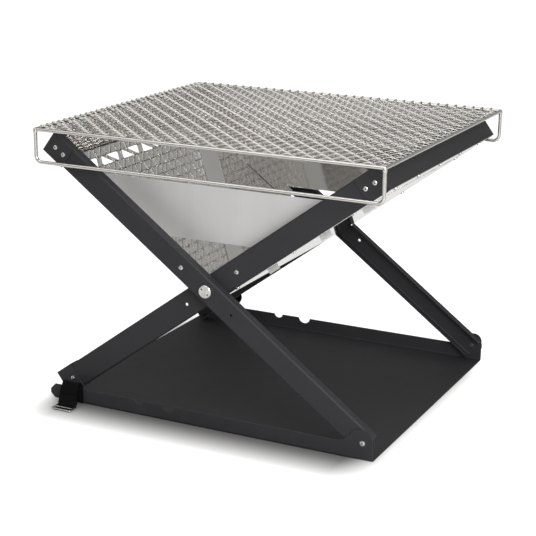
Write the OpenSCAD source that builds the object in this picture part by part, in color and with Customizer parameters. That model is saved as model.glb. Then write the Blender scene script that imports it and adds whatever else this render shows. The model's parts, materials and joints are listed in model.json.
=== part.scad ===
// Folding fire pit: base tray, crossed leg frames that fold flat into it,
// sheet fire trough and a woven wire grill.
// Millimetres. Origin under the middle of the tray, X along the tray, Z up.

/* [Base tray] */
// Length of the tray floor
tray_l = 510; // [480:1:560]
// Width over the two side flanges
tray_w = 454; // [420:1:500]
// Tray sheet thickness
tray_t = 1.5; // [1:0.1:2]
// Height of the side flanges
flange_h = 22.5; // [20:0.5:23]
// Height of the pivot ears at the right end
ear_h = 43; // [41:0.5:50]
// Corner cut at the free end of each flange
flange_cut = 8; // [4:0.5:9]
// Diameter of the drain holes near the right end
drain_d = 4; // [3:0.5:6]
// Distance of the drain holes from the middle
drain_y = 120; // [60:1:160]

/* [Crossed frames] */
// Angle of each frame to the tray when set up
open_angle = 36.5; // [34:0.5:39]
// Reach of the outer legs' round ends beyond the right end of the tray
leg_end_over = 1.5; // [0:0.5:3]
// Distance from the middle of the tray to the crossing
cross_shift = 2.86; // [0:0.01:6]
// Length of the upper half of the outer legs over that of the lower half
top_extra = 15; // [11:0.5:18]
// Width of the outer legs
outer_w = 33; // [30:0.5:34]
// Width of the inner legs over that of the outer legs
inner_w_over = 3; // [3:0.5:5]
// Depth of the outer legs' channel
outer_lip = 13; // [8:0.5:13]
// Depth of the inner legs' channel
inner_lip = 18; // [14:0.5:18]
// Leg and rail sheet thickness
leg_t = 1.5; // [1.2:0.1:1.6]
// Bend radius of the tray and the legs
bend_r = 3; // [2.5:0.1:4]
// Step between the outer and inner legs' outer faces
leg_step = 16; // [15.5:0.5:18]
// Length of the rail tabs along the legs
tab_l = 38; // [34:1:44]
// Length of the foot caps along the legs
cap_l = 29; // [25:1:36]
// Crossing to the single rivets and the open holes of the legs
single_u = 48; // [40:1:60]
// Diameter of the open holes
open_hole_d = 4.5; // [4:0.5:6]
// Radius of the tray's notches for the single rivets
single_notch_r = 8; // [7:0.5:9]

/* [Pivots and rivets] */
// Cross bolt diameter
bolt_d = 8; // [6:0.5:10]
// Cross nut diameter
nut_d = 19; // [16:0.5:20]
// Cross nut thickness
nut_t = 4; // [3:0.5:4.5]
// Tray pivot pin diameter
pin_d = 5; // [4:0.5:6]
// Tray pivot pin head diameter
pin_head_d = 7.6; // [7:0.1:9]
// Rivet shank diameter
rivet_d = 3.2; // [2.8:0.1:3.6]
// Rivet head diameter
rivet_head_d = 6.4; // [5.8:0.1:7.2]
// Rivet head height
rivet_head_h = 1.1; // [0.8:0.1:1.2]
// Distance from the free end of a rail tab to its nearer rivet
tab_rivet_edge = 8.5; // [6:0.5:10]
// Spacing of the two rivets on a rail tab
tab_rivet_pitch = 15.5; // [12:0.5:18]
// Distance from each end of the legs' upper halves to the panel's side rivets
side_rivet_end = 30; // [24:1:40]

/* [Fire trough] */
// Trough sheet thickness
panel_t = 0.8; // [0.6:0.1:1]
// Gap between the outer frame's panel and the inner legs
panel_side_gap = 4; // [3:0.5:6]
// Distance from the inner legs' outer faces to their panel's edges
panel_side_inset = 5; // [4:0.5:8]
// Width of the rail flange that holds each panel
flange_u = 22; // [16:1:26]
// Distance of the end plates from the line of the outer panel's edges
plate_inset = 6; // [6:0.5:9]
// Height of the end plates' top edges above the crossing
plate_top = 136; // [120:0.5:136]
// Height of the end plates' bottom edges above the crossing
plate_bottom = 57.8; // [50:0.1:75]
// Gap between an end plate and the panel that it is not hinged to
plate_gap = 4; // [3:0.5:8]
// Crossing to the lower end of each end plate's hinge strip
hinge_start = 72; // [66:1:80]
// Distance from the top end of a frame to the upper end of the hinge strip
hinge_end_gap = 42; // [40:1:60]
// Width of the hinge strip along each end plate
hinge_strip = 20; // [14:1:24]
// Width of the hinge tabs
hinge_tab_w = 18; // [12:1:22]
// Reach of the front plate's hinge tabs below its hinge line
front_tab_l = 9; // [7:0.5:9]
// Reach of the rear plate's hinge tabs below its hinge line
rear_tab_l = 3.4; // [2.8:0.1:3.4]
// Place of the middle hinge tab between the other two, as a share
mid_tab_share = 0.56; // [0.45:0.01:0.6]
// Height of the draught vents
vent_h = 16; // [12:0.5:20]
// Spacing of the draught vent pairs
vent_pitch = 56.5; // [50:0.5:64]
// Rounding of the vent corners
vent_r = 2; // [1:0.5:3]
// Distance from the rail flange to the vents
vent_inset = 17; // [12:1:40]

/* [Grill] */
// Reach of the grill's wires beyond each end of the tray
grill_end_over = 7; // [4:0.5:12]
// Reach of the grill's wires beyond each side of the tray
grill_side_over = 8; // [6:0.5:14]
// Frame and bail wire diameter
frame_wire_d = 5; // [4:0.5:6]
// Mesh wire diameter
mesh_wire_d = 2.6; // [2:0.1:3]
// Wanted spacing of the mesh wires
mesh_pitch = 14.2; // [12:0.1:20]
// Drop of the bails below the frame
bail_drop = 46; // [36:1:46]
// Bend radius of the bails
bail_r = 9; // [6:0.5:14]

/* [Strap] */
// Width of the webbing
strap_w = 28; // [22:1:30]
// Thickness of the webbing
strap_t = 1.6; // [1.2:0.1:2]
// Distance from the tray's left end to the middle of the front strap
strap_inset = 41; // [31:1:50]
// Width of the strap's fold over the tray's flange
strap_loop = 10; // [7:0.5:12]
// Height of the strap's fold above the ground
strap_top = 32; // [28:1:34]
// Distance from the tray to the buckle
buckle_gap = 21; // [18:1:24]
// Length of the buckle along the ground
buckle_l = 24; // [22:1:28]
// Bar thickness of the buckle
buckle_bar = 3; // [2.5:0.5:3.5]
// Angle at which the strap's tail rises
tail_angle = 38; // [30:1:45]
// Length of the strap's tail
tail_l = 62; // [50:1:66]
// Distance from the tray's left end to the tail's rivet
tail_inset = 29; // [23:1:35]

/* [Hidden] */
$fn = 64;
run_clear = 0.05;
face_clear = 0.5;
side_clear = 0.5;
foot_clear = 0.5;
nest_clear = 2.5;
rest_clear = 0.3;
hinge_clear = 0.8;
mesh_clear = 0.1;
window_clear = 0.6;
notch_clear = 1;
spacer_wall = 2;
lug_wall = 4;
flange_edge = 1;
tab_edge = 3.5;
vent_web = 2;
vent_margin = 15;
tail_flange_h = 0.9;
dimple_d = 2.2;
dimple_h = 0.7;
corner_steps = 4;
fold_steps = 8;
cut = 1;

sin_a = sin(open_angle);
cos_a = cos(open_angle);

outer_y = tray_w / 2 - tray_t - side_clear;
inner_y = outer_y - leg_step;
inner_w = outer_w + inner_w_over;
ear_l = outer_w;
pivot_x = tray_l / 2 + leg_end_over - outer_w / 2;
lower_l = (pivot_x - cross_shift) / cos_a;
outer_top_l = lower_l + top_extra;
inner_top_l = outer_top_l - (inner_w - outer_w) / 2 / tan(open_angle);
foot_l = outer_top_l - leg_t - nest_clear;
foot_half = inner_w / 2 + leg_t;

pivot_z = tray_t + foot_clear + (foot_l - lower_l) * sin_a + foot_half * cos_a;
cross_x = cross_shift;
cross_z = pivot_z + lower_l * sin_a;

rail_top_z = cross_z + outer_top_l * sin_a + outer_w / 2 * cos_a;
mesh_layer = (mesh_wire_d + mesh_clear) / 2;
grill_z = rail_top_z + rest_clear + mesh_layer + mesh_wire_d / 2;
grill_l = tray_l + 2 * grill_end_over;
grill_w = tray_w + 2 * grill_side_over;
long_count = round(grill_w / mesh_pitch) - 1;
cross_count = round(grill_l / mesh_pitch) - 1;

outer_panel_y = inner_y - inner_lip - panel_side_gap;
inner_panel_y = inner_y - panel_side_inset;
outer_flange_y = outer_panel_y - flange_edge;
inner_flange_y = inner_y - inner_lip - face_clear;
outer_panel_v = -outer_w / 2;
inner_panel_v = -inner_w / 2;
outer_panel_end = sqrt(pow(-inner_panel_v - rest_clear, 2) - pow(outer_panel_v - panel_t, 2));
inner_panel_end = 10;
rail_rivets_u = [tab_l - tab_rivet_edge - tab_rivet_pitch, tab_l - tab_rivet_edge];
vent_base = vent_pitch / 2 - vent_web;
vent_count = floor(2 * (outer_panel_y - vent_margin) / vent_pitch);
plate_y = outer_panel_y - plate_inset;
hinge_end = inner_top_l - hinge_end_gap;
first_tab_u = hinge_start + tab_edge + hinge_tab_w / 2;
last_tab_u = hinge_end - tab_edge - hinge_tab_w / 2;
hinge_tabs_u = [first_tab_u, first_tab_u + mid_tab_share * (last_tab_u - first_tab_u), last_tab_u];
strap_x = strap_inset - tray_l / 2;
tail_x = tail_inset - tray_l / 2;

black = "#2b2b2e";
steel = "#b9b9b5";
webbing = "#17171a";

// Frames of reference

// Outer frame: x runs from the crossing to the tray pivot, z is the frame's upper side
module on_outer() {
  translate([cross_x, 0, cross_z]) rotate([0, open_angle, 0]) children();
}

// Inner frame: x runs from the crossing to the frame's top end, z is its upper side
module on_inner() {
  translate([cross_x, 0, cross_z]) rotate([0, -open_angle, 0]) children();
}

// Front piece and its mirror image at the rear
module both_sides() {
  children();
  mirror([0, 1, 0]) children();
}

// Turns an upward shape to point out of the front face
module facing_front(x, y, z) {
  translate([x, -y, z]) rotate([90, 0, 0]) children();
}

// Shapes that repeat

// Round bore through a front wall, from the outer face inwards
module front_bore(x, y, z, d, depth) {
  facing_front(x, y + cut, z) translate([0, 0, -depth - 2 * cut]) cylinder(d = d, h = depth + 2 * cut);
}

// Rivet with a dimpled head on z = 0, its shank and tail below
module rivet(grip, head_d = rivet_head_d, shank_d = rivet_d) {
  rotate_extrude()
    polygon([
      [0, -grip - tail_flange_h], [head_d * 0.4, -grip - tail_flange_h], [head_d * 0.4, -grip],
      [shank_d / 2, -grip], [shank_d / 2, 0], [head_d / 2, 0], [head_d / 2, rivet_head_h * 0.4],
      [head_d * 0.3, rivet_head_h], [dimple_d / 2, rivet_head_h],
      [dimple_d / 2, rivet_head_h - dimple_h], [0, rivet_head_h - dimple_h]
    ]);
}

// Half of a channel section: web on x = 0, lips reaching to x = -depth
module channel_section(w, depth) {
  inner_r = bend_r - leg_t;
  difference() {
    union() {
      translate([-depth, -w / 2]) square([depth - bend_r, w]);
      translate([-depth, bend_r - w / 2]) square([depth, w - 2 * bend_r]);
      for (side = [-1, 1]) translate([-bend_r, side * (w / 2 - bend_r)]) circle(r = bend_r);
    }
    translate([-depth - cut, leg_t - w / 2]) square([depth + cut - bend_r, w - 2 * leg_t]);
    translate([-depth, bend_r - w / 2]) square([depth - leg_t, w - 2 * bend_r]);
    for (side = [-1, 1]) translate([-bend_r, side * (w / 2 - bend_r)]) circle(r = inner_r);
  }
}

// Front leg channel between two places along its own frame
module front_channel(x0, x1, y, w, depth) {
  mirror([0, 1, 0])
    translate([x0, y, 0]) rotate([90, 0, 90]) linear_extrude(x1 - x0) channel_section(w, depth);
}

// Direction of the line from a to b
function heading(a, b) = atan2(b[1] - a[1], b[0] - a[0]);

// Unit step in a direction
function aim(angle) = [cos(angle), sin(angle)];

// Arc of radius r round corner b, between the outer sides of the lines a-b and b-c
function round_corner(a, b, c, r) =
  let (start = heading(a, b) - 90, turn = (heading(b, c) - heading(a, b) + 360) % 360)
    [for (k = [0 : corner_steps]) b + r * aim(start + turn * k / corner_steps)];

// Outline at distance r round the given points, which run anticlockwise
module round_outline(points, r) {
  n = len(points);
  polygon([
    for (i = [0 : n - 1]) each round_corner(points[(i + n - 1) % n], points[i], points[(i + 1) % n], r)
  ]);
}

// Row of draught vents, alternately point up and point down, across a panel
module vent_row(u) {
  inner_h = vent_h / 2 - vent_r;
  half = vent_base / 2 - vent_r;
  for (i = [0 : 2 * vent_count - 1])
    translate([u, (i - vent_count + 0.5) * vent_pitch / 2]) rotate(i % 2 * 180)
      round_outline([[-inner_h, half], [-inner_h, -half], [inner_h, 0]], vent_r);
}

// Rail across a frame's top end: end face, two tabs on the legs and the panel flange.
// x = 0 is the outer face, the frame runs towards negative x.
module top_rail(w, y, flange_y, v) {
  tab_y = y + leg_t;
  difference() {
    union() {
      translate([-leg_t, -tab_y, -w / 2]) cube([leg_t, 2 * tab_y, w]);
      both_sides() translate([-tab_l, -tab_y, -w / 2]) cube([tab_l, leg_t, w]);
      translate([-leg_t - flange_u, -flange_y, v]) cube([flange_u + leg_t, 2 * flange_y, leg_t]);
    }
    both_sides()
      for (u = rail_rivets_u) front_bore(-u, tab_y, 0, rivet_d + 2 * run_clear, leg_t);
    panel_rivet_places(flange_y) translate([-leg_t - flange_u / 2, 0, v - cut])
      cylinder(d = rivet_d + 2 * run_clear, h = leg_t + 2 * cut);
  }
}

// The four rivets of a top rail, two on each tab
module rail_rivets(y) {
  both_sides()
    for (u = rail_rivets_u) facing_front(-u, y + leg_t, 0) rivet(2 * leg_t);
}

// Places across a panel for its row of rivets
module panel_rivet_places(flange_y) {
  rivet_rows = 4;
  for (i = [0 : rivet_rows])
    translate([0, (i / rivet_rows - 0.5) * 2 * (flange_y - flange_u), 0]) children();
}

// Base tray and what is fixed to it

// Side view of a flange with its ear, notches and cut corners
module flange_outline() {
  ear_r = 12;
  ear_x = tray_l / 2 - ear_l;
  fillet = ear_h - flange_h;
  difference() {
    union() {
      polygon([
        [-tray_l / 2, flange_cut], [flange_cut - tray_l / 2, 0], [tray_l / 2, 0],
        [tray_l / 2, flange_h], [flange_cut - tray_l / 2, flange_h], [-tray_l / 2, flange_h - flange_cut]
      ]);
      translate([ear_x, 0]) square([ear_l, ear_h - ear_r]);
      translate([ear_x + ear_r, 0]) square([ear_l - 2 * ear_r, ear_h]);
      for (x = [ear_x + ear_r, tray_l / 2 - ear_r]) translate([x, ear_h - ear_r]) circle(r = ear_r);
      difference() {
        translate([ear_x - fillet, flange_h - cut]) square([fillet + cut, fillet - ear_r + 2 * cut]);
        translate([ear_x - fillet, ear_h]) circle(r = fillet);
      }
    }
    notch(pivot_x - lower_l, nut_d / 2 + notch_clear);
    notch(pivot_x - lower_l - single_u, single_notch_r);
  }
}

// Notch that a nut or rivet head drops into when the frames lie flat
module notch(x, r) {
  translate([x, pivot_z]) circle(r = r);
  translate([x - r, pivot_z]) square([2 * r, ear_h]);
}

// Section across the tray: floor and flanges with rounded bends
module tray_section() {
  difference() {
    bend_corners(tray_w / 2, bend_r);
    translate([0, tray_t]) bend_corners(tray_w / 2 - tray_t, bend_r - tray_t);
  }
}

// Area between two upright sides, with round lower corners
module bend_corners(half, r) {
  translate([-half, r]) square([2 * half, ear_h]);
  translate([r - half, 0]) square([2 * (half - r), ear_h]);
  for (side = [-1, 1]) translate([side * (half - r), r]) circle(r = r);
}

module base_tray() {
  color(black) difference() {
    intersection() {
      translate([-tray_l / 2, 0, 0]) rotate([90, 0, 90]) linear_extrude(tray_l) tray_section();
      translate([0, tray_w / 2 + cut, 0]) rotate([90, 0, 0])
        linear_extrude(tray_w + 2 * cut) flange_outline();
    }
    both_sides() {
      front_bore(pivot_x, tray_w / 2, pivot_z, pin_d + 2 * run_clear, tray_t);
      translate([tray_l / 2 - drain_d * 1.5, -drain_y, -cut]) cylinder(d = drain_d, h = tray_t + 2 * cut);
    }
    front_bore(strap_x, tray_w / 2, flange_h / 2, rivet_d + 2 * run_clear, tray_t);
    mirror([0, 1, 0]) front_bore(tail_x, tray_w / 2, flange_h / 2, rivet_d + 2 * run_clear, tray_t);
  }
}

module tray_pivot_pins() {
  grip = tray_t + side_clear + leg_t + run_clear;
  color(steel) both_sides()
    facing_front(pivot_x, tray_w / 2, pivot_z) rivet(grip, head_d = pin_head_d, shank_d = pin_d);
}

// Webbing riveted to the front flange, folded over outwards, down to the ground and round the buckle's bar
module strap_front() {
  face_y = tray_w / 2;
  mid_r = strap_loop / 2 - strap_t / 2;
  loop_y = face_y + strap_loop / 2;
  loop_z = strap_top - strap_loop / 2;
  bar_y = face_y + buckle_gap;
  over_z = buckle_bar + rest_clear + strap_t / 2;
  slot_y = bar_y + buckle_bar + rest_clear + strap_t / 2;
  color(webbing) difference() {
    mirror([0, 1, 0]) translate([strap_x - strap_w / 2, 0, 0]) rotate([90, 0, 90]) linear_extrude(strap_w)
      ribbon(concat(
        [[face_y + strap_t / 2, bend_r]],
        [for (k = [0 : fold_steps]) [loop_y, loop_z] + mid_r * aim(180 - k * 180 / fold_steps)],
        [[bar_y - 2 * buckle_bar, over_z + buckle_bar], [bar_y - strap_t, over_z]],
        [[slot_y, over_z], [slot_y, strap_t]]
      ));
    front_bore(strap_x, face_y + strap_t, flange_h / 2, rivet_d + 2 * run_clear, strap_t);
  }
}

// Edge view of a length of webbing along its middle line
module ribbon(path) {
  last = len(path) - 1;
  normals = [for (i = [0 : last - 1]) let (run = path[i + 1] - path[i]) [-run[1], run[0]] / norm(run)];
  sides = [for (i = [0 : last])
    let (a = normals[max(i - 1, 0)], b = normals[min(i, last - 1)]) (a + b) / (1 + a * b) * strap_t / 2];
  polygon(concat([for (i = [0 : last]) path[i] + sides[i]], [for (i = [last : -1 : 0]) path[i] - sides[i]]));
}

// Three-bar buckle lying on the ground in front of the strap
module strap_buckle() {
  width = strap_w + 4 * buckle_bar;
  slot_l = (buckle_l - 3 * buckle_bar) / 2;
  front_y = tray_w / 2 + buckle_gap;
  color(steel) translate([strap_x - width / 2, -front_y - buckle_l, 0]) difference() {
    union() {
      translate([0, buckle_bar, 0]) cube([width, buckle_l - 2 * buckle_bar, buckle_bar]);
      translate([buckle_bar, 0, 0]) cube([width - 2 * buckle_bar, buckle_l, buckle_bar]);
      for (x = [buckle_bar, width - buckle_bar], y = [buckle_bar, buckle_l - buckle_bar])
        translate([x, y, 0]) cylinder(r = buckle_bar, h = buckle_bar);
    }
    for (i = [0, 1])
      translate([2 * buckle_bar - 0.5, buckle_bar + i * (slot_l + buckle_bar), -cut])
        cube([width - 4 * buckle_bar + 1, slot_l, buckle_bar + 2 * cut]);
  }
}

// Tail of the strap on the rear flange, with a round tip
module strap_tail() {
  tip_r = strap_w / 2;
  color(webbing) translate([tail_x, tray_w / 2 + strap_t, flange_h / 2]) rotate([90, 0, 0])
    linear_extrude(strap_t) difference() {
      rotate(tail_angle) union() {
        circle(r = flange_h / 2 - 1);
        translate([0, 1 - flange_h / 2]) square([tail_l - tip_r, flange_h - 2]);
        translate([tail_l - tip_r, 0]) circle(r = tip_r);
      }
      circle(d = rivet_d + 2 * run_clear);
    }
}

module strap_rivets() {
  grip = tray_t + strap_t;
  color(steel) {
    facing_front(strap_x, tray_w / 2 + strap_t, flange_h / 2) flush_rivet(grip);
    mirror([0, 1, 0]) facing_front(tail_x, tray_w / 2 + strap_t, flange_h / 2) flush_rivet(grip);
  }
}

// Rivet whose inner end is flush, so that a leg can pass behind it
module flush_rivet(grip) {
  translate([0, 0, -grip]) cylinder(d = rivet_d, h = grip);
  cylinder(d = rivet_head_d, h = rivet_head_h);
}

// Outer frame

module outer_leg() {
  end_x = lower_l + outer_w / 2;
  difference() {
    intersection() {
      front_channel(leg_t - outer_top_l, end_x, outer_y, outer_w, outer_lip);
      rotate([90, 0, 0]) linear_extrude(outer_y + cut) {
        translate([-outer_top_l, -outer_w / 2]) square([outer_top_l + lower_l, outer_w]);
        translate([lower_l, 0]) circle(d = outer_w);
      }
    }
    front_bore(0, outer_y, 0, bolt_d + 2 * run_clear, leg_t);
    front_bore(lower_l, outer_y, 0, pin_d + 2 * run_clear, leg_t);
    front_bore(-single_u, outer_y, 0, rivet_d + 2 * run_clear, leg_t);
    front_bore(single_u, outer_y, 0, open_hole_d, leg_t);
    for (u = rail_rivets_u) front_bore(u - outer_top_l, outer_y, 0, rivet_d + 2 * run_clear, leg_t);
  }
}

module outer_leg_front() {
  color(black) on_outer() outer_leg();
}

module outer_leg_rear() {
  color(black) on_outer() mirror([0, 1, 0]) outer_leg();
}

module outer_top_rail() {
  color(black) on_outer() translate([-outer_top_l, 0, 0]) mirror([1, 0, 0])
    top_rail(outer_w, outer_y, outer_flange_y, outer_panel_v);
}

module outer_rail_rivets() {
  color(steel) on_outer() translate([-outer_top_l, 0, 0]) mirror([1, 0, 0]) rail_rivets(outer_y);
}

module outer_single_rivets() {
  color(steel) on_outer() both_sides() facing_front(-single_u, outer_y, 0) rivet(leg_t);
}

// Trough panel under the outer frame, hung on the cross bolts by two lugs, with windows for the rear plate
module outer_panel() {
  top_u = outer_top_l - leg_t - face_clear;
  lug_r = bolt_d / 2 + lug_wall;
  lug_neck = lug_r * 0.75;
  color(steel) on_outer() difference() {
    union() {
      translate([0, 0, outer_panel_v - panel_t]) linear_extrude(panel_t) difference() {
        translate([-top_u, -outer_panel_y]) square([top_u + outer_panel_end, 2 * outer_panel_y]);
        vent_row(flange_u + vent_inset + leg_t - outer_top_l + vent_h / 2);
        rotate(180) hinge_windows(rear_tab_l);
      }
      both_sides() translate([0, panel_t - outer_panel_y, 0]) rotate([90, 0, 0]) linear_extrude(panel_t) {
        circle(r = lug_r);
        translate([-lug_neck, outer_panel_v - panel_t])
          square([lug_neck + outer_panel_end, panel_t - outer_panel_v]);
      }
    }
    both_sides() front_bore(0, outer_panel_y, 0, bolt_d + 2 * run_clear, panel_t);
    translate([-outer_top_l + leg_t + flange_u / 2, 0, outer_panel_v - panel_t - cut])
      panel_rivet_places(outer_flange_y) cylinder(d = rivet_d + 2 * run_clear, h = panel_t + 2 * cut);
  }
}

module outer_panel_rivets() {
  color(steel) on_outer()
    translate([-outer_top_l + leg_t + flange_u / 2, 0, outer_panel_v - panel_t]) mirror([0, 0, 1])
      panel_rivet_places(outer_flange_y) rivet(leg_t + panel_t);
}

// Crossing

module cross_bolts() {
  head_t = 2;
  inner_end = outer_panel_y - panel_t;
  color(steel) on_outer() both_sides() {
    facing_front(0, inner_end, 0) cylinder(d = bolt_d, h = outer_y + nut_t * 0.6 - inner_end);
    facing_front(0, inner_end - head_t, 0) cylinder(d = bolt_d + 4, h = head_t);
  }
}

// Round nuts with two spanner holes
module cross_nuts() {
  hole_d = 2.4;
  edge = 1;
  color(steel) on_outer() both_sides() facing_front(0, outer_y, 0) difference() {
    rotate_extrude() polygon([
      [0, nut_t * 0.6 + run_clear], [bolt_d / 2 + run_clear, nut_t * 0.6 + run_clear],
      [bolt_d / 2 + run_clear, 0], [nut_d / 2, 0], [nut_d / 2, nut_t - edge],
      [nut_d / 2 - edge, nut_t], [0, nut_t]
    ]);
    for (side = [-1, 1])
      translate([side * nut_d * 0.3, 0, nut_t - hole_d / 2]) cylinder(d = hole_d, h = hole_d);
  }
}

// Ring round each bolt between the outer and the inner leg
module cross_spacers() {
  inner_face = outer_y - leg_t;
  spacer_l = inner_face - inner_y - rest_clear;
  color(steel) on_outer() both_sides() facing_front(0, inner_face - spacer_l, 0) sleeve(spacer_l);
}

// Sleeve round each bolt between the inner leg and the panel lug
module cross_sleeves() {
  sleeve_l = inner_y - leg_t - rest_clear - outer_panel_y;
  color(steel) on_outer() both_sides() facing_front(0, outer_panel_y, 0) sleeve(sleeve_l);
}

module sleeve(length) {
  bore_d = bolt_d + 2 * run_clear;
  difference() {
    cylinder(d = bore_d + 2 * spacer_wall, h = length);
    translate([0, 0, -cut]) cylinder(d = bore_d, h = length + 2 * cut);
  }
}

// Inner frame

module inner_leg() {
  difference() {
    front_channel(leg_t - foot_l, inner_top_l - leg_t, inner_y, inner_w, inner_lip);
    front_bore(0, inner_y, 0, bolt_d + 2 * run_clear, leg_t);
    front_bore(single_u, inner_y, 0, rivet_d + 2 * run_clear, leg_t);
    front_bore(-single_u, inner_y, 0, open_hole_d, leg_t);
    for (u = rail_rivets_u) front_bore(inner_top_l - u, inner_y, 0, rivet_d + 2 * run_clear, leg_t);
    front_bore(foot_rivet_x(), inner_y, 0, rivet_d + 2 * run_clear, leg_t);
    for (u = side_rivets_u()) translate([u, side_rivet_y(), inner_panel_v - cut])
      cylinder(d = rivet_d + 2 * run_clear, h = leg_t + 2 * cut);
  }
}

function foot_rivet_x() = cap_l * 0.7 - foot_l;
function side_rivets_u() =
  [for (i = [0 : 2]) side_rivet_end + i * (inner_top_l - tab_l - 2 * side_rivet_end) / 2];
function side_rivet_y() = -(inner_panel_y + inner_y - inner_lip) / 2;

module inner_leg_front() {
  color(black) on_inner() inner_leg();
}

module inner_leg_rear() {
  color(black) on_inner() mirror([0, 1, 0]) inner_leg();
}

module inner_top_rail() {
  color(black) on_inner() translate([inner_top_l, 0, 0])
    top_rail(inner_w, inner_y, inner_flange_y, inner_panel_v);
}

module inner_rail_rivets() {
  color(steel) on_inner() translate([inner_top_l, 0, 0]) rail_rivets(inner_y);
}

module inner_single_rivets() {
  color(steel) on_inner() both_sides() facing_front(single_u, inner_y, 0) rivet(leg_t);
}

// Folded caps over the feet of the inner legs
module foot_caps() {
  cap_y = inner_y + leg_t;
  depth = inner_lip + leg_t;
  color(black) on_inner() both_sides() translate([-foot_l, -cap_y, 0]) difference() {
    translate([0, 0, -foot_half]) cube([cap_l, depth, 2 * foot_half]);
    translate([leg_t, leg_t, -inner_w / 2]) cube([cap_l, depth, inner_w]);
    front_bore(foot_rivet_x() + foot_l, 0, 0, rivet_d + 2 * run_clear, leg_t);
  }
}

module foot_rivets() {
  color(steel) on_inner() both_sides() facing_front(foot_rivet_x(), inner_y + leg_t, 0) rivet(2 * leg_t);
}

// Trough panel under the inner frame, with windows for the front plate
module inner_panel() {
  top_u = inner_top_l - leg_t;
  color(steel) on_inner() difference() {
    translate([0, 0, inner_panel_v - panel_t]) linear_extrude(panel_t) difference() {
      translate([-inner_panel_end, -inner_panel_y]) square([top_u + inner_panel_end, 2 * inner_panel_y]);
      vent_row(inner_top_l - flange_u - vent_inset - leg_t - vent_h / 2);
      hinge_windows(front_tab_l);
    }
    translate([inner_top_l - leg_t - flange_u / 2, 0, inner_panel_v - panel_t - cut])
      panel_rivet_places(inner_flange_y)
        cylinder(d = rivet_d + 2 * run_clear, h = panel_t + 2 * cut);
    both_sides() for (u = side_rivets_u()) translate([u, side_rivet_y(), inner_panel_v - panel_t - cut])
      cylinder(d = rivet_d + 2 * run_clear, h = panel_t + 2 * cut);
  }
}

module inner_panel_rivets() {
  color(steel) on_inner() {
    translate([inner_top_l - leg_t - flange_u / 2, 0, inner_panel_v - panel_t]) mirror([0, 0, 1])
      panel_rivet_places(inner_flange_y) rivet(leg_t + panel_t);
    both_sides() for (u = side_rivets_u()) translate([u, side_rivet_y(), inner_panel_v - panel_t])
      mirror([0, 0, 1]) rivet(leg_t + panel_t);
  }
}

// End plates, the front one hinged by its tabs along the inner panel, the rear one along the outer panel

// Distance along a frame at which its line v is at a height above the crossing
function along(rise, v) = (rise - v * cos_a) / sin_a;
// Horizontal distance of that point from the crossing
function across(rise, v) = along(rise, v) * cos_a - v * sin_a;
// A point of the upright plane in a frame's own axes
function in_frame(x, rise) = [x * cos_a + rise * sin_a, rise * cos_a - x * sin_a];

// Windows in a panel for a plate's hinge tabs
module hinge_windows(reach) {
  window_w = hinge_tab_w + 2 * window_clear;
  for (u = hinge_tabs_u) translate([u - window_w / 2, -plate_y - reach - window_clear])
    square([window_w, reach + 2 * window_clear + panel_t]);
}

// Plate on the hinge line of a frame whose panel is at panel_v, up to the other frame's panel at far_v
module end_plate(panel_v, far_v, reach) {
  hinge_v = panel_v + hinge_clear;
  strip_top = hinge_v + hinge_strip;
  free_v = far_v + plate_gap;
  translate([0, panel_t / 2 - plate_y, 0]) rotate([90, 0, 0]) linear_extrude(panel_t) {
    polygon([
      in_frame(across(plate_bottom, hinge_v), plate_bottom),
      in_frame(across(plate_top, hinge_v), plate_top),
      in_frame(-across(plate_top, free_v), plate_top),
      in_frame(-across(plate_bottom, free_v), plate_bottom)
    ]);
    polygon([
      [hinge_start, hinge_v], [hinge_end, hinge_v],
      [along(plate_top, strip_top), strip_top], [hinge_start + hinge_strip / 2, strip_top]
    ]);
    for (u = hinge_tabs_u)
      translate([u - hinge_tab_w / 2, hinge_v - reach]) square([hinge_tab_w, reach + cut]);
  }
}

module end_plate_front() {
  color(steel) on_inner() end_plate(inner_panel_v, outer_panel_v, front_tab_l);
}

module end_plate_rear() {
  color(steel) on_outer() rotate(180) end_plate(outer_panel_v, inner_panel_v, rear_tab_l);
}

// Grill

module wire(length, d) {
  cylinder(d = d, h = length, center = true);
}

module grill_frame() {
  color(steel) translate([0, 0, grill_z]) {
    for (side = [-1, 1]) {
      translate([0, side * grill_w / 2, 0]) rotate([0, 90, 0]) wire(grill_l, frame_wire_d);
      translate([side * grill_l / 2, 0, 0]) rotate([90, 0, 0]) wire(grill_w, frame_wire_d);
    }
    for (x = [-1, 1], y = [-1, 1])
      translate([x * grill_l / 2, y * grill_w / 2, 0]) sphere(d = frame_wire_d);
  }
}

module grill_long_wires() {
  step = grill_w / (long_count + 1);
  color(steel) for (i = [1 : long_count])
    translate([0, i * step - grill_w / 2, grill_z - mesh_layer]) rotate([0, 90, 0])
      wire(grill_l - frame_wire_d, mesh_wire_d);
}

module grill_cross_wires() {
  step = grill_l / (cross_count + 1);
  color(steel) for (i = [1 : cross_count])
    translate([i * step - grill_l / 2, 0, grill_z + mesh_layer]) rotate([90, 0, 0])
      wire(grill_w - frame_wire_d, mesh_wire_d);
}

// Bail: two drops from the frame's corners, round bends and a long bottom wire
module bail() {
  bend_x = grill_l / 2 - bail_r;
  drop = bail_drop - bail_r - frame_wire_d / 2;
  translate([0, -grill_w / 2, grill_z - bail_drop]) {
    rotate([0, 90, 0]) wire(2 * bend_x, frame_wire_d);
    for (side = [0, 1]) mirror([side, 0, 0]) {
      translate([grill_l / 2, 0, bail_r]) cylinder(d = frame_wire_d, h = drop);
      translate([bend_x, 0, bail_r]) rotate([-90, 0, 0])
        rotate_extrude(angle = 90) translate([bail_r, 0]) circle(d = frame_wire_d);
    }
  }
}

module bail_front() {
  color(steel) bail();
}

module bail_rear() {
  color(steel) mirror([0, 1, 0]) bail();
}

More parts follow.
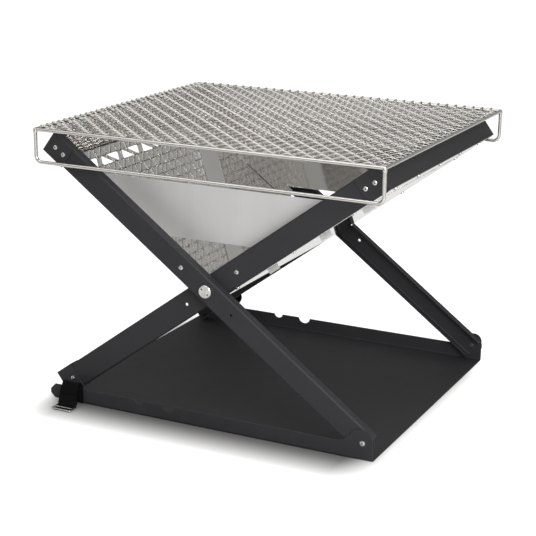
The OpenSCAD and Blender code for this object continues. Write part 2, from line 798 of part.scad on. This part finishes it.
base_tray();
tray_pivot_pins();
strap_front();
strap_buckle();
strap_tail();
strap_rivets();
outer_leg_front();
outer_leg_rear();
outer_top_rail();
outer_rail_rivets();
outer_single_rivets();
outer_panel();
outer_panel_rivets();
cross_bolts();
cross_nuts();
cross_spacers();
cross_sleeves();
inner_leg_front();
inner_leg_rear();
inner_top_rail();
inner_rail_rivets();
inner_single_rivets();
foot_caps();
foot_rivets();
inner_panel();
inner_panel_rivets();
end_plate_front();
end_plate_rear();
grill_frame();
grill_long_wires();
grill_cross_wires();
bail_front();
bail_rear();
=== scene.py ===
"""Folding fire pit: powder-coated tray and crossed legs, polished fire trough, woven wire grill."""
import json
import math

import bpy
import numpy as np
from mathutils import Matrix, Vector


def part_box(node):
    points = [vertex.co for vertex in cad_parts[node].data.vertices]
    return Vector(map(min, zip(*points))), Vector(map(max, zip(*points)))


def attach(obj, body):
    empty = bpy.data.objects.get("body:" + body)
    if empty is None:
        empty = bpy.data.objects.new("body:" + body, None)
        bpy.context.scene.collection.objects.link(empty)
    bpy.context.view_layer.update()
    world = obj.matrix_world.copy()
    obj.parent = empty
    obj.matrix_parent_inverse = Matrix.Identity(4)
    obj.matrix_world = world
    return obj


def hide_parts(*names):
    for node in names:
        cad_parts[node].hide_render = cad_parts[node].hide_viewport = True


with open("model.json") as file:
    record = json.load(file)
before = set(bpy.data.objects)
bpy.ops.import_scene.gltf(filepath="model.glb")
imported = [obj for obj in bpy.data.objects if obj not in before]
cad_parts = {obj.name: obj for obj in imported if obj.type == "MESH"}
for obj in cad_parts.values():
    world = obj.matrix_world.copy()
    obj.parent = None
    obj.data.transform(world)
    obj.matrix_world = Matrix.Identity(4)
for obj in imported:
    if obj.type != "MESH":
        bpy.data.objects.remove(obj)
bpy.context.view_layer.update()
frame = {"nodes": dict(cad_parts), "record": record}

# Mesh: counts, sizes in metres, and places near a wire's lapped end in pitches from that end
LONG_WIRES = 32
CROSS_WIRES = 36
MESH_WIRE_R = 0.0013
CRIMP = 0.00145
CRIMP_SHARPNESS = 0.22
LAP_START = 0.95
LAP_RUN = 0.65
LAP_HEIGHT = 0.35 * MESH_WIRE_R
STEPS_PER_PITCH = 6
WIRE_SIDES = 8

# Angles of the rings that round off a wire's end
END_TURNS = np.radians([25.0, 50.0, 75.0])

# Weld beads, in radii of the frame's wire: lowest and highest place, size, and swelling at the middle
WELD_LOW = -2.2
WELD_HIGH = 0.2
WELD_SIZE = 1.06
WELD_SWELL = 0.16
WELD_SIDES = 16
WELD_RINGS = 9

# Strap: sizes in metres, angle in radians, and counts of points
WEBBING_W = 0.028
WEBBING_T = 0.0016
RIB_STEP = 0.0012
PICK_STEP = 0.0016
FOLD_STEPS = 6
TAIL_ANGLE = math.radians(38.0)
TAIL_L = 0.062
TAIL_BASE_R = 0.01025
TAIL_STEPS = 17
BUCKLE_L = 0.020
BUCKLE_T = 0.0018
BUCKLE_BAR = 0.0026
BUCKLE_SLOT = (BUCKLE_L - 3 * BUCKLE_BAR) / 2
BUCKLE_SLOT_R = 0.0008
BUCKLE_SHIFT = 0.003
EDGE_EASE = 0.0006

# Trough lips and turned nuts, in metres and radians
LEG_ANGLE = math.radians(36.5)
LIP_T = 0.0005
LIP_GAP = 0.0001
LIP_SHORT = 0.0006
RAIL_TAB = 0.01
SAME_PLACE = 0.0001
TURNED_STEP = 0.0004

# The photograph's camera: degrees, metres, and millimetres for its lens and sensor
PHOTO_AZIMUTH = 26.103
PHOTO_ELEVATION = 16.152
PHOTO_ROLL = 0.695
PHOTO_DISTANCE = 2.18085
PHOTO_TARGET = Vector((-0.01332, 0.0, 0.17356))
PHOTO_LENS = 97.36
SENSOR = 36.0

# Floor, and widths of the soft edge of the shadow painted on it, at the tray's two ends and in front, in
# metres;
# a share of each end's soft edge lies within the tray's outline
FLOOR_SIZE = 14.0
FLOOR_DROP = 0.0004
SHADOW_LEFT = 0.05
SHADOW_RIGHT = 0.06
SHADOW_FRONT = 0.085
SHADOW_WITHIN = 0.67

# Lamps: name, place, aim, width in metres, power in watts
LAMPS = [
    ("top_softbox", (-0.3, 0.4, 2.6), (0.0, 0.0, 0.1), 2.0, 14.0),
    ("front_softbox", (-0.8, -1.3, 2.4), (0.0, 0.0, 0.2), 2.2, 19.0),
    ("right_softbox", (1.1, -1.25, 0.95), (0.2, -0.2, 0.33), 1.1, 38.0),
]

# Colours
WHITE = (1.0, 1.0, 1.0, 1.0)
BLACK = (0.0, 0.0, 0.0, 1.0)


def grey(level, warmth=0.0):
    """A neutral colour; warmth takes a little blue away."""
    return (level, level * (1 - 0.4 * warmth), level * (1 - warmth), 1.0)


def cool(level):
    """A grey with a little blue, as of black paint and dyed webbing."""
    return (level, level, level * 1.1, 1.0)


class Value:
    """A shader value: arithmetic on it adds Math nodes."""

    def __init__(self, graph, socket):
        self.graph = graph
        self.socket = socket

    def maths(self, operation, a, b=0.0):
        return self.graph.add("ShaderNodeMath", {"operation": operation}, {0: a, 1: b})

    def __add__(self, other):
        return self.maths("ADD", self, other)

    def __radd__(self, other):
        return self.maths("ADD", other, self)

    def __sub__(self, other):
        return self.maths("SUBTRACT", self, other)

    def __rsub__(self, other):
        return self.maths("SUBTRACT", other, self)

    def __mul__(self, other):
        return self.maths("MULTIPLY", self, other)

    def __rmul__(self, other):
        return self.maths("MULTIPLY", other, self)

    def __pow__(self, other):
        return self.maths("POWER", self, other)

    def __abs__(self):
        return self.maths("ABSOLUTE", self)

    def sine(self):
        return self.maths("SINE", self)

    def clamped(self):
        return self.graph.add("ShaderNodeClamp", {}, {0: self})


class Graph:
    """A node tree that is built by calls."""

    def __init__(self, tree):
        self.tree = tree
        self.tree.nodes.clear()

    def add(self, kind, settings=None, sockets=None, output=0):
        node = self.tree.nodes.new(kind)
        for key, value in (settings or {}).items():
            if key == "stops":
                self.set_stops(node.color_ramp.elements, value)
            else:
                setattr(node, key, value)
        for key, value in (sockets or {}).items():
            if isinstance(value, Value):
                self.tree.links.new(value.socket, node.inputs[key])
            else:
                node.inputs[key].default_value = value
        return Value(self, node.outputs[output])

    @staticmethod
    def set_stops(elements, stops):
        while len(elements) < len(stops):
            elements.new(1.0)
        for element, (place, level) in zip(elements, stops):
            element.position = place
            element.color = grey(level)

    def mix(self, factor, a, b):
        return self.add("ShaderNodeMix", {"data_type": "RGBA"}, {0: factor, 6: a, 7: b}, 2)

    def place(self):
        """Place on the object, in metres along the row's axes."""
        return self.add("ShaderNodeTexCoord", output="Object")

    def sides(self, vector):
        """The three numbers of a vector."""
        node = self.add("ShaderNodeSeparateXYZ", {}, {0: vector}).socket.node
        return [Value(self, side) for side in node.outputs]

    def stretched(self, place, scale, turn=(0.0, 0.0, 0.0)):
        return self.add("ShaderNodeMapping", {}, {"Vector": place, "Scale": scale, "Rotation": turn})

    def noise(self, place, scale, detail=2.0, roughness=0.5):
        sockets = {"Vector": place, "Scale": scale, "Detail": detail, "Roughness": roughness}
        return self.add("ShaderNodeTexNoise", {}, sockets, "Fac")

    def ramp(self, value, *stops):
        return self.add("ShaderNodeValToRGB", {"stops": stops}, {"Fac": value})

    def soft_edges(self, radius):
        """Surface direction, with edges eased over a small radius."""
        return self.add("ShaderNodeBevel", {"samples": 4}, {"Radius": radius})

    def edge(self, eased):
        """How close a point is to an eased edge, from 0 to 1."""
        flat = self.add("ShaderNodeNewGeometry", output="Normal")
        facing = self.add("ShaderNodeVectorMath", {"operation": "DOT_PRODUCT"}, {0: eased, 1: flat}, "Value")
        return ((1.0 - facing) * 5.0).clamped()

    def bump(self, height, distance, strength, normal=None):
        sockets = {"Height": height, "Distance": distance, "Strength": strength}
        if normal is not None:
            sockets["Normal"] = normal
        return self.add("ShaderNodeBump", {}, sockets)

    def principled(self, **sockets):
        named = {key.replace("_", " ").title().replace("Ior", "IOR"): value for key, value in sockets.items()}
        return self.add("ShaderNodeBsdfPrincipled", {}, named)

    def output(self, shader, kind="ShaderNodeOutputMaterial"):
        node = self.tree.nodes.new(kind)
        self.tree.links.new(shader.socket, node.inputs["Surface"])


def new_finish(name):
    """An empty material and the graph of its nodes."""
    material = bpy.data.materials.new(name)
    material.use_nodes = True
    return material, Graph(material.node_tree)


def powder_coat():
    """Black powder coat: fine grain, slight cloudiness, edges a little lighter, partly rubbed wear and partly
    a painted highlight.
    """
    material, g = new_finish("powder_coat")
    place = g.place()
    grain = g.noise(place, 2400.0, 2.0)
    peel = g.noise(place, 520.0, 1.0)
    cloud = g.noise(place, 6.0, 5.0, 0.6)
    dust = g.ramp(g.noise(place, 38.0, 6.0, 0.7), (0.52, 0.0), (0.78, 1.0))
    eased = g.soft_edges(0.0011)
    # Edges lighter: partly rubbed wear, partly a painted highlight along the bends
    wear_and_painted_highlight = (g.edge(eased) * (0.25 + cloud)).clamped()
    colour = g.mix(cloud, cool(0.0155), cool(0.024))
    colour = g.mix(dust * 0.10, colour, cool(0.07))
    colour = g.mix(wear_and_painted_highlight * 0.15, colour, cool(0.13))
    rough = 0.48 + 0.12 * cloud + 0.10 * dust + 0.06 * grain
    normal = g.bump(grain + 0.7 * peel, 0.00012, 0.30, eased)
    g.output(g.principled(base_color=colour, roughness=rough, specular_ior_level=0.22, normal=normal))
    return material


def polished_sheet():
    """Mirror-polished stainless sheet with faint polishing lines and a slight waviness."""
    material, g = new_finish("polished_sheet")
    place = g.place()
    lines = g.noise(g.stretched(place, (40.0, 900.0, 40.0)), 1.0, 3.0, 0.6)
    wave = g.noise(place, 7.0, 1.0)
    smudge = g.ramp(g.noise(place, 11.0, 5.0, 0.65), (0.45, 0.0), (0.75, 1.0))
    eased = g.soft_edges(0.0005)
    colour = g.mix(smudge * 0.5, grey(0.74, 0.03), grey(0.66, 0.04))
    rough = 0.02 + 0.03 * lines + 0.04 * smudge + 0.12 * g.edge(eased)
    normal = g.bump(wave + 0.004 * lines, 0.0012, 0.05, eased)
    g.output(g.principled(base_color=colour, metallic=1.0, roughness=rough, normal=normal))
    return material


def satin_sheet():
    """Stainless sheet of the end plates: satin and brushed upright outside, polished inside the trough."""
    material, g = new_finish("satin_sheet")
    place = g.place()
    lines = g.noise(g.stretched(place, (1600.0, 1600.0, 22.0)), 1.0, 3.0, 0.6)
    streak = g.noise(g.stretched(place, (45.0, 45.0, 2.5)), 1.0, 4.0, 0.6)
    eased = g.soft_edges(0.0005)
    facing = g.sides(g.add("ShaderNodeTexCoord", output="Normal"))[1]
    # Inside is the side that looks towards the middle of the pit
    inside = (-100.0 * facing * g.sides(place)[1]).clamped()
    colour = g.mix(streak, grey(0.57, 0.015), grey(0.64, 0.015))
    colour = g.mix(inside, colour, grey(0.74, 0.03))
    satin = 0.58 + 0.10 * lines + 0.06 * streak
    rough = satin * (1.0 - inside) + 0.05 * inside
    normal = g.bump(lines * (1.0 - inside), 0.00005, 0.35, eased)
    g.output(g.principled(base_color=colour, metallic=1.0, roughness=rough, normal=normal))
    return material


def bright_wire():
    """Drawn stainless wire: fine lines and a few duller patches."""
    material, g = new_finish("bright_wire")
    place = g.place()
    lines = g.noise(place, 1500.0, 2.0)
    patch = g.noise(place, 60.0, 4.0, 0.6)
    colour = g.mix(patch, grey(0.50, 0.09), grey(0.68, 0.06))
    rough = 0.12 + 0.08 * lines + 0.08 * patch
    normal = g.bump(lines, 0.00004, 0.25)
    g.output(g.principled(base_color=colour, metallic=1.0, roughness=rough, normal=normal))
    return material


def plated_fastener(name, node=None):
    """Plated steel, with painted shade darkening its dimples and holes; the face of a named node is turned
    round its middle.
    """
    material, g = new_finish(name)
    place = g.place()
    grain = g.noise(g.stretched(place, (900.0, 200.0, 900.0)), 1.0, 3.0)
    tarnish = g.noise(place, 180.0, 4.0, 0.6)
    eased = g.soft_edges(0.0003)
    nearby = {"samples": 8, "only_local": True}
    open_sky = g.add("ShaderNodeAmbientOcclusion", nearby, {"Distance": 0.002}, "AO")
    # Painted shade: colour darkened where ambient occlusion finds a dimple or hole
    painted_recess_shade = ((1.0 - open_sky) * 3.0).clamped()
    colour = g.mix(tarnish, grey(0.50, 0.06), grey(0.68, 0.05))
    colour = g.mix(painted_recess_shade, colour, grey(0.03))
    rough = 0.16 + 0.10 * grain + 0.08 * tarnish
    normal = g.bump(grain, 0.00004, 0.30, eased)
    if node:
        low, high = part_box(node)
        x, _, z = g.sides(place)
        across = x - (low.x + high.x) / 2
        up = z - (low.z + high.z) / 2
        rings = ((across * across + up * up) ** 0.5 * (2 * math.pi / TURNED_STEP)).sine()
        normal = g.bump(rings, 0.00005, 0.35, normal)
    g.output(g.principled(base_color=colour, metallic=1.0, roughness=rough, normal=normal))
    return material


def black_webbing(name, turn):
    """Woven black webbing; turn is the angle of its length from the upright."""
    material, g = new_finish(name)
    place = g.stretched(g.place(), (1.0, 1.0, 1.0), (0.0, turn, 0.0))
    across, _, along = g.sides(place)
    rib = (across * (2 * math.pi / RIB_STEP)).sine()
    pick = (along * (2 * math.pi / PICK_STEP)).sine()
    weave = rib * pick
    fuzz = g.noise(place, 2200.0, 2.0)
    fade = g.noise(place, 90.0, 4.0)
    colour = g.mix((0.5 + 0.5 * weave).clamped(), cool(0.001), cool(0.0045))
    colour = g.mix(fade * 0.3, colour, cool(0.006))
    normal = g.bump(weave + 0.6 * fuzz, 0.00025, 0.7)
    rough = 0.82 + 0.12 * fuzz
    g.output(g.principled(base_color=colour, roughness=rough, specular_ior_level=0.05, sheen_weight=0.01,
                          normal=normal))
    return material


def new_piece(name, points, faces, material, smooth=True):
    """An object of one mesh and one material."""
    data = bpy.data.meshes.new(name)
    data.from_pydata([tuple(point) for point in points], [], faces)
    data.update()
    data.polygons.foreach_set("use_smooth", [smooth] * len(data.polygons))
    data.materials.append(material)
    piece = bpy.data.objects.new(name, data)
    bpy.context.scene.collection.objects.link(piece)
    return piece


def dress(piece, body, slot, *nodes):
    """A piece that rides on a body and stands for CAD nodes; its slot is not used."""
    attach(piece, body)
    if nodes:
        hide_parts(*nodes)


def round_section(radius, sides):
    """Outline of a round wire."""
    angles = np.arange(sides) * 2 * math.pi / sides
    return np.stack([np.cos(angles), np.sin(angles)], 1) * radius


def flat_section(width, thickness, per_side=5):
    """Rounded oblong, as of webbing."""
    r = thickness / 2
    angles = np.linspace(-math.pi / 2, math.pi / 2, per_side)
    right = np.stack([width / 2 - r + r * np.cos(angles), r * np.sin(angles)], 1)
    return np.concatenate([right, -right])


def tube_faces(rings, sides):
    """Faces of a closed tube whose points come ring by ring."""
    faces = []
    for i in range(rings - 1):
        for j in range(sides):
            k = (j + 1) % sides
            faces.append((i * sides + j, i * sides + k, (i + 1) * sides + k, (i + 1) * sides + j))
    faces.append(tuple(range(sides - 1, -1, -1)))
    faces.append(tuple(range((rings - 1) * sides, rings * sides)))
    return faces


def sweep(path, section, across, rounding=0.0):
    """Points and faces of a closed tube along a path; across is the way that the section's width lies."""
    path = np.asarray(path, float)
    size = np.ones(len(path))
    if rounding:
        ends = [path[0] - path[1], path[-1] - path[-2]]
        first, last = (rounding * np.sin(END_TURNS)[:, None] * end / np.linalg.norm(end) for end in ends)
        path = np.concatenate([path[0] + first[::-1], path, path[-1] + last])
        size = np.concatenate([np.cos(END_TURNS)[::-1], size, np.cos(END_TURNS)])
    run = np.gradient(path, axis=0)
    run /= np.linalg.norm(run, axis=1)[:, None]
    side = np.asarray(across, float) - (run @ np.asarray(across, float))[:, None] * run
    side /= np.linalg.norm(side, axis=1)[:, None]
    up = np.cross(run, side)
    wide, high = (section[None, :, k:k + 1] * size[:, None, None] for k in (0, 1))
    rings = path[:, None] + wide * side[:, None] + high * up[:, None]
    return rings.reshape(-1, 3), tube_faces(len(path), len(section))


def joined(parts):
    """Several tubes as one list of points and one of faces."""
    all_points = []
    all_faces = []
    start = 0
    for points, faces in parts:
        all_points.append(points)
        all_faces.extend(tuple(i + start for i in face) for face in faces)
        start += len(points)
    return np.concatenate(all_points), all_faces


def smooth_path(points, steps):
    """Points along a smooth curve through the given ones."""
    p = np.asarray(points, float)
    p = np.concatenate([[2 * p[0] - p[1]], p, [2 * p[-1] - p[-2]]])
    out = []
    for i in range(1, len(p) - 2):
        for t in np.arange(steps) / steps:
            a = 2 * p[i]
            b = p[i + 1] - p[i - 1]
            c = 2 * p[i - 1] - 5 * p[i] + 4 * p[i + 1] - p[i + 2]
            d = -p[i - 1] + 3 * p[i] - 3 * p[i + 1] + p[i + 2]
            out.append((a + b * t + c * t * t + d * t ** 3) / 2)
    out.append(p[-2])
    return np.array(out)


def crimp(steps_along):
    """Height of a woven wire, from -1 to 1, against its place in pitches."""
    wave = np.cos(math.pi * steps_along)
    return wave + CRIMP_SHARPNESS * (wave - wave ** 3)


def woven_wire(length, pitches, sign, over_end, over_height):
    """Places along a mesh wire and heights there; one end laps over the frame, the other runs into it."""
    along = np.linspace(-length / 2, length / 2, pitches * STEPS_PER_PITCH + 1)
    height = sign * CRIMP * crimp((along + length / 2) * pitches / length)
    from_end = np.clip((length / 2 - np.abs(along)) * pitches / length, 0, 1)
    height *= from_end * (2 - from_end)
    to_lap = (length / 2 - over_end * along) * pitches / length
    rise = np.clip((LAP_START - to_lap) / LAP_RUN, 0, 1)
    rise = rise * rise * (3 - 2 * rise)
    return along, height * (1 - rise) + over_height * rise


def woven_mesh(wire):
    """The grill's mesh: crimped wires, over and under each other; left and rear ends lap over the frame."""
    low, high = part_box("grill_frame")
    centre = (low + high) / 2
    frame_r = (high.z - low.z) / 2
    length = high.x - low.x - 2 * frame_r
    width = high.y - low.y - 2 * frame_r
    section = round_section(MESH_WIRE_R, WIRE_SIDES)
    over = frame_r + LAP_HEIGHT
    long_wires = []
    for i in range(1, LONG_WIRES + 1):
        along, height = woven_wire(length, CROSS_WIRES + 1, (-1) ** i, -1, over)
        y = np.full_like(along, i * width / (LONG_WIRES + 1) - width / 2)
        path = np.stack([along + centre.x, y + centre.y, height + centre.z], 1)
        long_wires.append(sweep(path, section, (0, 1, 0), MESH_WIRE_R))
    cross_wires = []
    for j in range(1, CROSS_WIRES + 1):
        along, height = woven_wire(width, LONG_WIRES + 1, -((-1) ** j), 1, over)
        x = np.full_like(along, j * length / (CROSS_WIRES + 1) - length / 2)
        path = np.stack([x + centre.x, along + centre.y, height + centre.z], 1)
        cross_wires.append(sweep(path, section, (1, 0, 0), MESH_WIRE_R))
    piece = new_piece("woven_long_wires", *joined(long_wires), wire)
    dress(piece, "grill", "bright_wire", "grill_long_wires")
    piece = new_piece("woven_cross_wires", *joined(cross_wires), wire)
    dress(piece, "grill", "bright_wire", "grill_cross_wires")


def corner_welds(wire):
    """Small weld beads where the bails meet the grill's frame."""
    low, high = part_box("grill_frame")
    r = (high.z - low.z) / 2
    heights = (low.z + high.z) / 2 + np.linspace(WELD_LOW, WELD_HIGH, WELD_RINGS) * r
    sizes = WELD_SIZE + WELD_SWELL * np.sin(np.linspace(0, math.pi, WELD_RINGS))
    parts = []
    for x in (low.x + r, high.x - r):
        for y in (low.y + r, high.y - r):
            rings = []
            for height, size in zip(heights, sizes):
                ring = round_section(r * size, WELD_SIDES) + (x, y)
                rings.append(np.column_stack([ring, np.full(WELD_SIDES, height)]))
            parts.append((np.concatenate(rings), tube_faces(WELD_RINGS, WELD_SIDES)))
    dress(new_piece("corner_welds", *joined(parts), wire), "grill", "bright_wire")


def panel_lip(rail, body, material):
    """Polished lip of a trough wall, which lines the inside of its rail's flange and end face."""
    points = np.array([vertex.co for vertex in frame["nodes"][rail].data.vertices])
    side = np.sign(points[:, 0].mean())
    run = math.cos(LEG_ANGLE)
    rise = math.sin(LEG_ANGLE)
    along = side * points[:, 0] * run + points[:, 2] * rise
    out = points[:, 2] * run - side * points[:, 0] * rise
    # The flange is the widest part between the rail's two end tabs
    widths = np.unique(np.abs(points[:, 1]).round(5))
    half = widths[widths < widths[-1] - RAIL_TAB].max()
    on_flange = np.abs(np.abs(points[:, 1]) - half) < SAME_PLACE
    inner = along[on_flange].min()
    outer = along[on_flange].max() - LIP_GAP
    seat = out[on_flange].max() + LIP_GAP
    top = out.max() - LIP_SHORT
    section = [
        (inner, seat),
        (outer, seat),
        (outer, top),
        (outer - LIP_T, top),
        (outer - LIP_T, seat + LIP_T),
        (inner, seat + LIP_T),
    ]
    corners = []
    for y in (half - LIP_SHORT, LIP_SHORT - half):
        for u, v in section:
            corners.append((side * (u * run - v * rise), y, u * rise + v * run))
    faces = tube_faces(2, len(section))
    if side < 0:
        faces = [face[::-1] for face in faces]
    piece = new_piece(rail + "_lip", corners, faces, material, smooth=False)
    dress(piece, body, "polished_sheet")


def outline_plate(name, outlines, thickness, material):
    """A flat plate with eased edges from closed outlines; those inside the first one are holes."""
    curve = bpy.data.curves.new(name, "CURVE")
    curve.dimensions = "2D"
    curve.fill_mode = "BOTH"
    curve.extrude = thickness / 2 - EDGE_EASE
    curve.bevel_depth = EDGE_EASE
    curve.bevel_resolution = 2
    curve.offset = -EDGE_EASE
    for outline in outlines:
        spline = curve.splines.new("POLY")
        spline.points.add(len(outline) - 1)
        for point, (x, y) in zip(spline.points, outline):
            point.co = (x, y, 0.0, 1.0)
        spline.use_cyclic_u = True
    holder = bpy.data.objects.new(name + "_outline", curve)
    bpy.context.scene.collection.objects.link(holder)
    bpy.context.view_layer.update()
    data = bpy.data.meshes.new_from_object(holder.evaluated_get(bpy.context.evaluated_depsgraph_get()))
    bpy.data.objects.remove(holder)
    data.name = name
    data.materials.clear()
    data.materials.append(material)
    piece = bpy.data.objects.new(name, data)
    bpy.context.scene.collection.objects.link(piece)
    return piece


def rounded_box(half_x, half_y, r, steps=5):
    """Outline of an oblong with round corners."""
    points = []
    for corner in range(4):
        angle = corner * math.pi / 2
        cx = (half_x - r) * (1 if corner in (0, 3) else -1)
        cy = (half_y - r) * (1 if corner in (0, 1) else -1)
        for k in range(steps + 1):
            a = angle + k / steps * math.pi / 2
            points.append((cx + r * math.cos(a), cy + r * math.sin(a)))
    return points


def buckle_place():
    """Middle of the buckle's rear edge, and how high it lies on the webbing's end."""
    low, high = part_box("strap_buckle")
    return Vector(((low.x + high.x) / 2 + BUCKLE_SHIFT, high.y, WEBBING_T))


def ladder_buckle(metal):
    """Flat three-bar buckle, a little wider than the webbing."""
    half_x = WEBBING_W / 2 + 0.9 * BUCKLE_BAR
    half_y = BUCKLE_L / 2
    outlines = [rounded_box(half_x, half_y, BUCKLE_BAR)]
    for side in (-1, 1):
        slot = rounded_box(half_x - BUCKLE_BAR, BUCKLE_SLOT / 2, BUCKLE_SLOT_R)
        outlines.append([(x, y + side * (BUCKLE_SLOT + BUCKLE_BAR) / 2) for x, y in slot])
    piece = outline_plate("ladder_buckle", outlines, BUCKLE_T, metal)
    piece.location = buckle_place() + Vector((0.0, -half_y, BUCKLE_T / 2))
    dress(piece, "tray", "nickel", "strap_buckle")


def webbing_front(webbing):
    """Webbing folded over the flange's edge, led over the buckle's rear bar and under its other two."""
    low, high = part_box("strap_front")
    x, rear, under = buckle_place()
    middle = (low.x + high.x) / 2
    face = high.y
    top = high.z
    t = WEBBING_T
    over = under + BUCKLE_T + 0.6 * t
    bar_front = rear - BUCKLE_BAR
    front = rear - 2 * BUCKLE_BAR - 2 * BUCKLE_SLOT
    path = [
        # Up the flange's outer face
        (middle + 0.002, face - t / 2, 0.0015),
        (middle + 0.002, face - t / 2, top * 0.55),
        # Folded over outwards
        (middle + 0.001, face - 0.0012, top - 0.004),
        (middle, face - 0.0038, top - 0.0008),
        (middle - 0.001, face - 0.0072, top - 0.002),
        # Down to the buckle's rear bar
        (middle - 0.002, face - 0.0090, top * 0.75),
        (middle - 0.004, face - 0.0105, top * 0.5),
        (middle - 0.003, rear + 0.0080, over + 0.0070),
        (middle - 0.001, rear + 0.0030, over + 0.0020),
        # Over that bar and under the other two
        (x, rear - BUCKLE_BAR / 2, over),
        (x, bar_front - 0.35 * BUCKLE_SLOT, over - 0.5 * t),
        (x, bar_front - 0.75 * BUCKLE_SLOT, 0.9 * t),
        (x, bar_front - 0.5 * BUCKLE_BAR - BUCKLE_SLOT, 0.5 * t),
        (x, front, 0.5 * t),
    ]
    points = smooth_path(path, FOLD_STEPS)
    section = flat_section(WEBBING_W, t)
    piece = new_piece("webbing_front", *sweep(points, section, (1, 0, 0)), webbing)
    dress(piece, "tray", "webbing", "strap_front")


def webbing_tail(webbing):
    """Tail of the strap on the rear flange: stiff webbing with a round tip."""
    low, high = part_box("strap_tail")
    tip_r = WEBBING_W / 2
    start = Vector((low.x + TAIL_BASE_R, high.y, low.z + TAIL_BASE_R))
    arc = np.linspace(-math.pi / 2, math.pi / 2, TAIL_STEPS)
    outline = [(TAIL_L - tip_r + tip_r * math.cos(a), tip_r * math.sin(a)) for a in arc]
    outline += [(TAIL_BASE_R * math.cos(a), TAIL_BASE_R * math.sin(a)) for a in arc + math.pi]
    piece = outline_plate("webbing_tail", [outline], WEBBING_T, webbing)
    upright = Matrix.Rotation(math.pi / 2, 4, "X") @ Matrix.Rotation(TAIL_ANGLE, 4, "Z")
    piece.data.transform(Matrix.Translation(start - Vector((0, WEBBING_T / 2, 0))) @ upright)
    dress(piece, "tray", "webbing", "strap_tail")


def paint_frame(finishes):
    """Gives each CAD node the finish of its slot."""
    slots = {part["node"]: part["material_slot"] for part in frame["record"]["subparts"]}
    for name, node in frame["nodes"].items():
        node.data.materials.clear()
        node.data.materials.append(finishes[slots[name]])


def white_floor():
    """Floor that looks white to the camera, and is darker near the tray, where a shadow is painted on it."""
    bpy.ops.mesh.primitive_plane_add(size=FLOOR_SIZE, location=(0.0, 0.0, -FLOOR_DROP))
    floor = bpy.context.object
    floor.name = "floor"
    material, g = new_finish("white_floor")
    seen = g.add("ShaderNodeLightPath", output="Is Camera Ray")
    mirrored = Value(g, seen.socket.node.outputs["Is Glossy Ray"])
    low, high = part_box("base_tray")
    x, y, _ = g.sides(g.place())
    left = (low.x - x) * (1 / SHADOW_LEFT) + SHADOW_WITHIN
    right = (x - high.x) * (1 / SHADOW_RIGHT) + SHADOW_WITHIN
    # Moved forwards by half its soft edge, so that it shows in front and not behind
    front = (abs(y + SHADOW_FRONT / 2) - high.y) * (1 / SHADOW_FRONT) + 0.5
    painted_shadow = (1.0 - left.clamped()) * (1.0 - right.clamped()) * (1.0 - front.clamped())
    away = (1.0 - painted_shadow) ** 1.6
    # Painted shadow: the floor's colour and its lift both fall near the tray's front and ends
    colour = g.mix(away, grey(0.10, 0.03), grey(0.44, 0.015))
    lift = g.mix((seen + 0.55 * mirrored) * away, BLACK, grey(0.82))
    g.output(g.principled(base_color=colour, roughness=0.9, emission_color=lift, emission_strength=1.0))
    floor.data.materials.append(material)


def grey_room():
    """Surroundings: a white backdrop for the camera, and a grey room, lighter at the right, for all else."""
    world = bpy.data.worlds.new("studio")
    bpy.context.scene.world = world
    world.use_nodes = True
    g = Graph(world.node_tree)
    right, rear, up = g.sides(g.add("ShaderNodeTexCoord", output="Generated"))
    level = (0.39 + 0.12 * right - 0.02 * rear + 0.02 * up).clamped()
    room = g.mix(level, BLACK, grey(1.0, 0.04))
    room = g.add("ShaderNodeBackground", {}, {"Color": room, "Strength": 1.0})
    backdrop = g.add("ShaderNodeBackground", {}, {"Color": WHITE, "Strength": 1.0})
    seen = g.add("ShaderNodeLightPath", output="Is Camera Ray")
    g.output(g.add("ShaderNodeMixShader", {}, {0: seen, 1: room, 2: backdrop}), "ShaderNodeOutputWorld")


def lamp(name, place, aim, size, power):
    """A square soft lamp."""
    light = bpy.data.lights.new(name, "AREA")
    light.size = size
    light.energy = power
    holder = bpy.data.objects.new(name, light)
    holder.location = place
    holder.rotation_euler = (Vector(aim) - Vector(place)).to_track_quat("-Z", "Y").to_euler()
    bpy.context.scene.collection.objects.link(holder)


def photo_camera():
    """The camera that took the photograph, as fitted to it."""
    camera = bpy.data.cameras.new("photo_camera")
    camera.lens = PHOTO_LENS
    camera.sensor_width = SENSOR
    holder = bpy.data.objects.new("photo_camera", camera)
    a = math.radians(PHOTO_AZIMUTH)
    e = math.radians(PHOTO_ELEVATION)
    back = Vector((math.sin(a) * math.cos(e), -math.cos(a) * math.cos(e), math.sin(e)))
    look = (-back).to_track_quat("-Z", "Y").to_matrix().to_4x4()
    roll = Matrix.Rotation(math.radians(PHOTO_ROLL), 4, "Z")
    holder.matrix_world = Matrix.Translation(PHOTO_TARGET + back * PHOTO_DISTANCE) @ look @ roll
    bpy.context.scene.collection.objects.link(holder)
    bpy.context.scene.camera = holder


finishes = {
    "powder_black": powder_coat(),
    "polished_sheet": polished_sheet(),
    "satin_sheet": satin_sheet(),
    "bright_wire": bright_wire(),
    "nickel": plated_fastener("plated_fastener"),
    "webbing": black_webbing("black_webbing", 0.0),
}
paint_frame(finishes)
frame["nodes"]["cross_nuts"].data.materials[0] = plated_fastener("turned_nut", "cross_nuts")
woven_mesh(finishes["bright_wire"])
corner_welds(finishes["bright_wire"])
panel_lip("outer_top_rail", "outer_frame", finishes["polished_sheet"])
panel_lip("inner_top_rail", "inner_frame", finishes["polished_sheet"])
ladder_buckle(finishes["nickel"])
webbing_front(finishes["webbing"])
webbing_tail(black_webbing("black_webbing_tail", math.pi / 2 - TAIL_ANGLE))
white_floor()
grey_room()
for settings in LAMPS:
    lamp(*settings)
photo_camera()
bpy.context.scene.view_settings.view_transform = "Standard"
